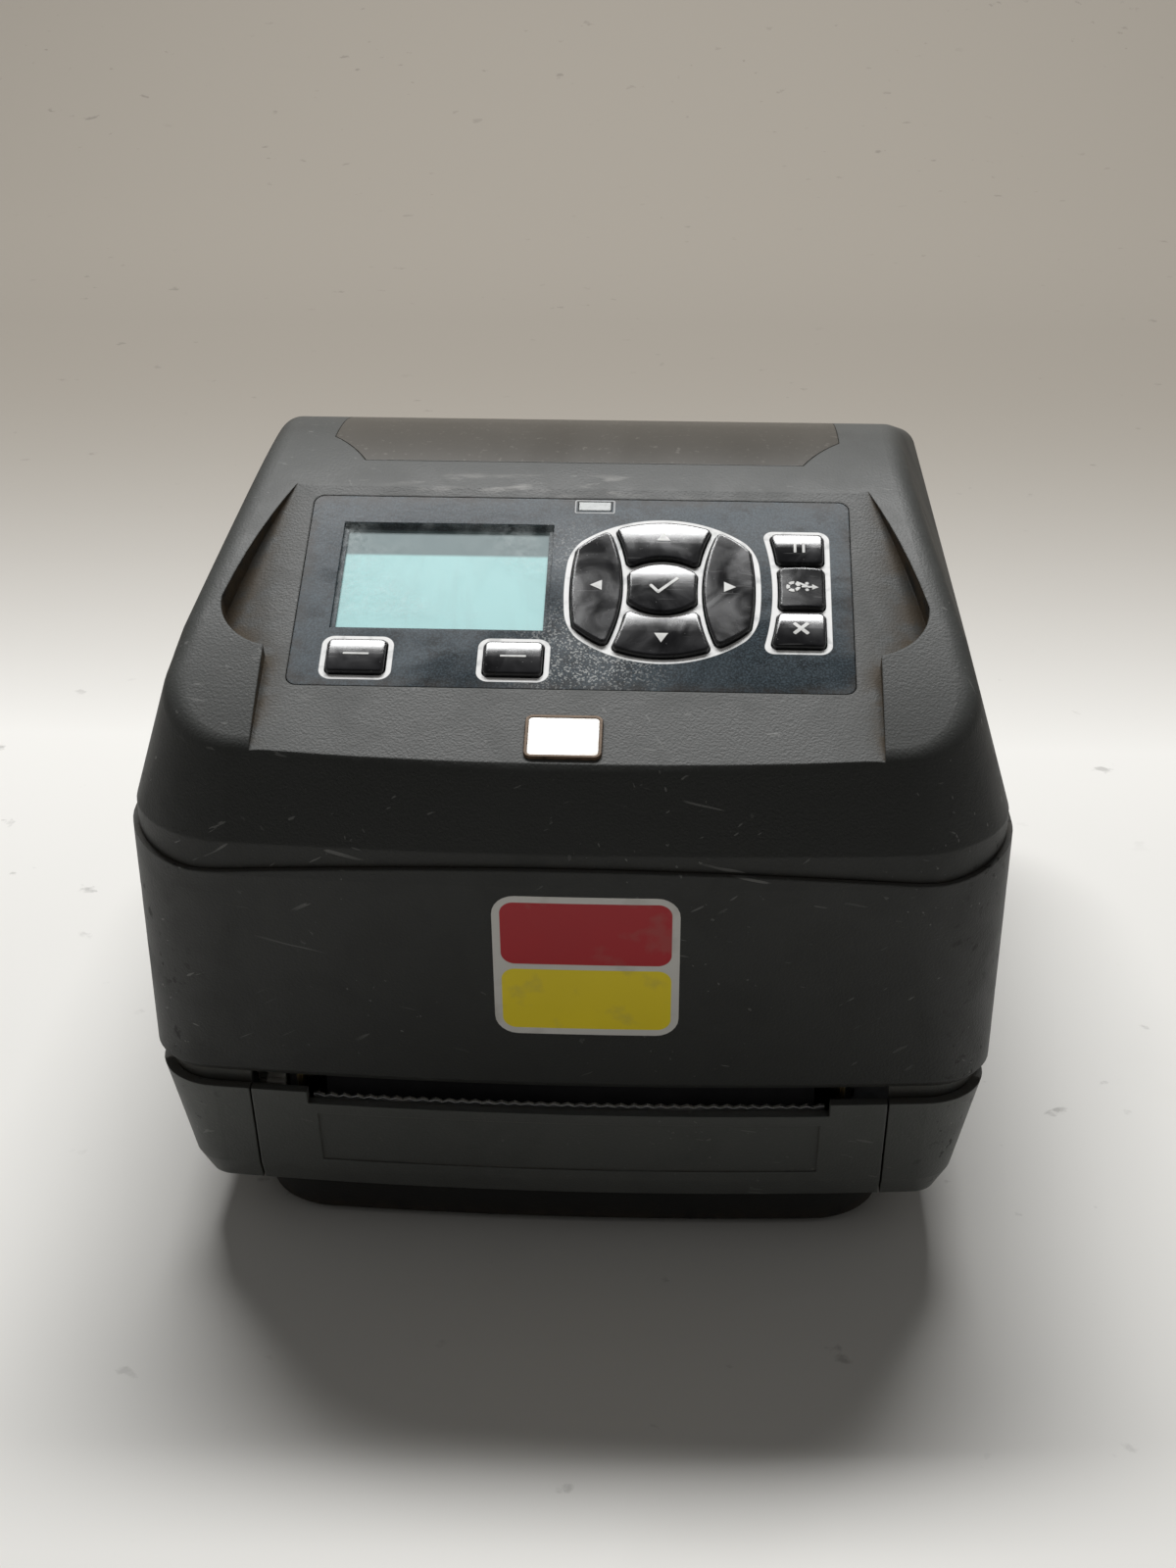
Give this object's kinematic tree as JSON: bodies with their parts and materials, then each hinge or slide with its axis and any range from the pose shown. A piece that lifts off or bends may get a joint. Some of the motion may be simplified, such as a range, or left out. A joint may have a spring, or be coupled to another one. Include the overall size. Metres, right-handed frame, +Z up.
{
  "type": "thermal label printer",
  "caption": "Free-standing label printer: tapered case, rear-hinged lid with smoked window and sloping keypad pod, front label slot, geared platen, sliding roll holders and ribbon carriage.",
  "frame": {"origin": "centre of the overall box in plan, on the plane of the rubber feet", "axes": "+Z up, the label slot and control panel face -Y, +X to the right of a person facing the panel"},
  "size_m": [0.193, 0.254, 0.1657],
  "materials": {
    "case_plastic": "fine-textured charcoal moulding",
    "lid_plastic": "fine-textured charcoal moulding with a dusty top",
    "pan_plastic": "dull black moulding",
    "foot_rubber": "dull soft rubber",
    "platen_rubber": "ground rubber",
    "plain_steel": "bright steel",
    "frame_steel": "zinc-plated sheet",
    "bushing_brass": "sintered bearing",
    "gear_plastic": "natural acetal",
    "guide_plastic": "satin moulding of the roll holders",
    "inner_plastic": "satin black moulding",
    "board_laminate": "solder-masked laminate",
    "socket_plastic": "black socket body",
    "switch_plastic": "gloss black rocker",
    "window_smoke": "smoked clear plastic",
    "overlay_film": "worn blue-black panel film",
    "lens_clear": "clear display lens",
    "display_panel": "pale teal display",
    "light_lens": "frosted status lens, unlit",
    "key_plastic": "domed gloss black keys",
    "head_ceramic": "glazed ceramic and board",
    "head_metal": "milled aluminium",
    "latch_plastic": "textured dark moulding"
  },
  "bodies": {
    "base": {"base_case": "case_plastic", "bottom_pan": "pan_plastic", "rubber_feet": "foot_rubber", "board_screws": "plain_steel", "front_bezel": "case_plastic", "tear_bar": "plain_steel", "media_deck": "inner_plastic", "side_frame_left": "frame_steel", "side_frame_right": "frame_steel", "platen_bushings": "bushing_brass", "retaining_clips": "plain_steel", "drive_motor": "frame_steel", "main_board": "board_laminate", "port_board": "board_laminate", "power_inlet": "socket_plastic", "data_ports": "plain_steel", "switch_frame": "socket_plastic", "hinge_brackets": "frame_steel", "hinge_pins": "plain_steel"},
    "lid": {"upper_shell": "lid_plastic", "top_cover": "lid_plastic", "media_window": "window_smoke", "control_overlay": "overlay_film", "display_lens": "lens_clear", "display_module": "display_panel", "status_light": "light_lens", "keypad_board": "board_laminate", "ribbon_frame": "frame_steel", "ribbon_clip": "plain_steel"},
    "platen": {"platen_shaft": "plain_steel", "platen_sleeve": "platen_rubber", "platen_gear": "gear_plastic"},
    "reduction_gear": {"reduction_gear": "gear_plastic"},
    "motor_pinion": {"motor_pinion": "bushing_brass"},
    "roll_holder_left": {"roll_holder_left": "guide_plastic"},
    "roll_holder_right": {"roll_holder_right": "guide_plastic"},
    "roll_hub_left": {"roll_hub_left": "guide_plastic"},
    "roll_hub_right": {"roll_hub_right": "guide_plastic"},
    "holder_pinion": {"holder_pinion": "gear_plastic"},
    "media_sensor": {"media_sensor": "inner_plastic"},
    "power_switch": {"power_switch": "switch_plastic"},
    "ribbon_supply": {"ribbon_supply": "inner_plastic"},
    "takeup": {"ribbon_takeup": "inner_plastic", "takeup_gear": "gear_plastic"},
    "ribbon_gear": {"ribbon_gear": "gear_plastic"},
    "head": {"print_head": "head_ceramic", "head_bracket": "head_metal", "head_pivot": "plain_steel"},
    "latch_left": {"latch_left": "latch_plastic"},
    "latch_right": {"latch_right": "latch_plastic"},
    "key_up": {"key_up": "key_plastic"},
    "key_down": {"key_down": "key_plastic"},
    "key_left": {"key_left": "key_plastic"},
    "key_right": {"key_right": "key_plastic"},
    "key_select": {"key_select": "key_plastic"},
    "key_soft_left": {"key_soft_left": "key_plastic"},
    "key_soft_right": {"key_soft_right": "key_plastic"},
    "key_pause": {"key_pause": "key_plastic"},
    "key_feed": {"key_feed": "key_plastic"},
    "key_cancel": {"key_cancel": "key_plastic"}
  },
  "joints": [
    {"name": "lid_hinge", "type": "hinge", "parent": "base", "child": "lid", "pos_m": [0, 0.116, 0.057], "axis": [-1, 0, 0], "range_deg": [0, 75]},
    {"name": "platen_spin", "type": "hinge", "parent": "base", "child": "platen", "pos_m": [0, -0.098, 0.0365], "axis": [1, 0, 0], "continuous": true},
    {"name": "reduction_spin", "type": "hinge", "parent": "base", "child": "reduction_gear", "pos_m": [-0.07, -0.08137, 0.03887], "axis": [1, 0, 0], "continuous": true},
    {"name": "motor_spin", "type": "hinge", "parent": "base", "child": "motor_pinion", "pos_m": [-0.063, -0.068, 0.024], "axis": [1, 0, 0], "continuous": true},
    {"name": "holder_left_slide", "type": "slide", "parent": "base", "child": "roll_holder_left", "axis": [1, 0, 0], "range_m": [0, 0.038]},
    {"name": "holder_right_slide", "type": "slide", "parent": "base", "child": "roll_holder_right", "axis": [-1, 0, 0], "range_m": [0, 0.038]},
    {"name": "holder_pinion_spin", "type": "hinge", "parent": "base", "child": "holder_pinion", "pos_m": [0, -0.036, 0.034], "axis": [0, 0, 1], "range_deg": [0, 291]},
    {"name": "hub_left_spin", "type": "hinge", "parent": "roll_holder_left", "child": "roll_hub_left", "pos_m": [-0.047, 0.042, 0.082], "axis": [1, 0, 0], "continuous": true},
    {"name": "hub_right_spin", "type": "hinge", "parent": "roll_holder_right", "child": "roll_hub_right", "pos_m": [0.047, 0.042, 0.082], "axis": [1, 0, 0], "continuous": true},
    {"name": "sensor_slide", "type": "slide", "parent": "base", "child": "media_sensor", "axis": [1, 0, 0], "range_m": [-0.034, 0.034]},
    {"name": "switch_rock", "type": "hinge", "parent": "base", "child": "power_switch", "pos_m": [0.06, 0.1204, 0.028], "axis": [1, 0, 0], "range_deg": [0, 18]},
    {"name": "supply_spin", "type": "hinge", "parent": "lid", "child": "ribbon_supply", "pos_m": [0, -0.066, 0.079], "axis": [1, 0, 0], "continuous": true},
    {"name": "takeup_spin", "type": "hinge", "parent": "lid", "child": "takeup", "pos_m": [0, -0.094, 0.107], "axis": [1, 0, 0], "continuous": true},
    {"name": "ribbon_gear_spin", "type": "hinge", "parent": "lid", "child": "ribbon_gear", "pos_m": [-0.063, -0.096, 0.07667], "axis": [1, 0, 0], "continuous": true},
    {"name": "head_pivot_turn", "type": "hinge", "parent": "lid", "child": "head", "pos_m": [0, -0.07, 0.057], "axis": [-1, 0, 0], "range_deg": [0, 3], "stiffness_Nm_per_rad": 2},
    {"name": "latch_left_pull", "type": "hinge", "parent": "lid", "child": "latch_left", "pos_m": [-0.0864, -0.084, 0.069], "axis": [-1, 0, 0], "range_deg": [0, 10], "stiffness_Nm_per_rad": 0.3},
    {"name": "latch_right_pull", "type": "hinge", "parent": "lid", "child": "latch_right", "pos_m": [0.0864, -0.084, 0.069], "axis": [-1, 0, 0], "range_deg": [0, 10], "stiffness_Nm_per_rad": 0.3},
    {"name": "key_up_press", "type": "slide", "parent": "lid", "child": "key_up", "axis": [0, 0.4195, -0.9078], "range_m": [0, 0.0005], "stiffness_N_per_m": 300},
    {"name": "key_down_press", "type": "slide", "parent": "lid", "child": "key_down", "axis": [0, 0.4195, -0.9078], "range_m": [0, 0.0005], "stiffness_N_per_m": 300},
    {"name": "key_left_press", "type": "slide", "parent": "lid", "child": "key_left", "axis": [0, 0.4195, -0.9078], "range_m": [0, 0.0005], "stiffness_N_per_m": 300},
    {"name": "key_right_press", "type": "slide", "parent": "lid", "child": "key_right", "axis": [0, 0.4195, -0.9078], "range_m": [0, 0.0005], "stiffness_N_per_m": 300},
    {"name": "key_select_press", "type": "slide", "parent": "lid", "child": "key_select", "axis": [0, 0.4195, -0.9078], "range_m": [0, 0.0005], "stiffness_N_per_m": 300},
    {"name": "key_soft_left_press", "type": "slide", "parent": "lid", "child": "key_soft_left", "axis": [0, 0.4195, -0.9078], "range_m": [0, 0.0005], "stiffness_N_per_m": 300},
    {"name": "key_soft_right_press", "type": "slide", "parent": "lid", "child": "key_soft_right", "axis": [0, 0.4195, -0.9078], "range_m": [0, 0.0005], "stiffness_N_per_m": 300},
    {"name": "key_pause_press", "type": "slide", "parent": "lid", "child": "key_pause", "axis": [0, 0.4195, -0.9078], "range_m": [0, 0.0005], "stiffness_N_per_m": 300},
    {"name": "key_feed_press", "type": "slide", "parent": "lid", "child": "key_feed", "axis": [0, 0.4195, -0.9078], "range_m": [0, 0.0005], "stiffness_N_per_m": 300},
    {"name": "key_cancel_press", "type": "slide", "parent": "lid", "child": "key_cancel", "axis": [0, 0.4195, -0.9078], "range_m": [0, 0.0005], "stiffness_N_per_m": 300}
  ],
  "couplings": [
    {"joint": "reduction_spin", "follows": "platen_spin", "ratio": -1.625},
    {"joint": "motor_spin", "follows": "platen_spin", "ratio": 3.7917},
    {"joint": "holder_right_slide", "follows": "holder_left_slide", "ratio": 1},
    {"joint": "holder_pinion_spin", "follows": "holder_left_slide", "rad_per_m": 133.33},
    {"joint": "ribbon_gear_spin", "follows": "takeup_spin", "ratio": -0.58333}
  ]
}
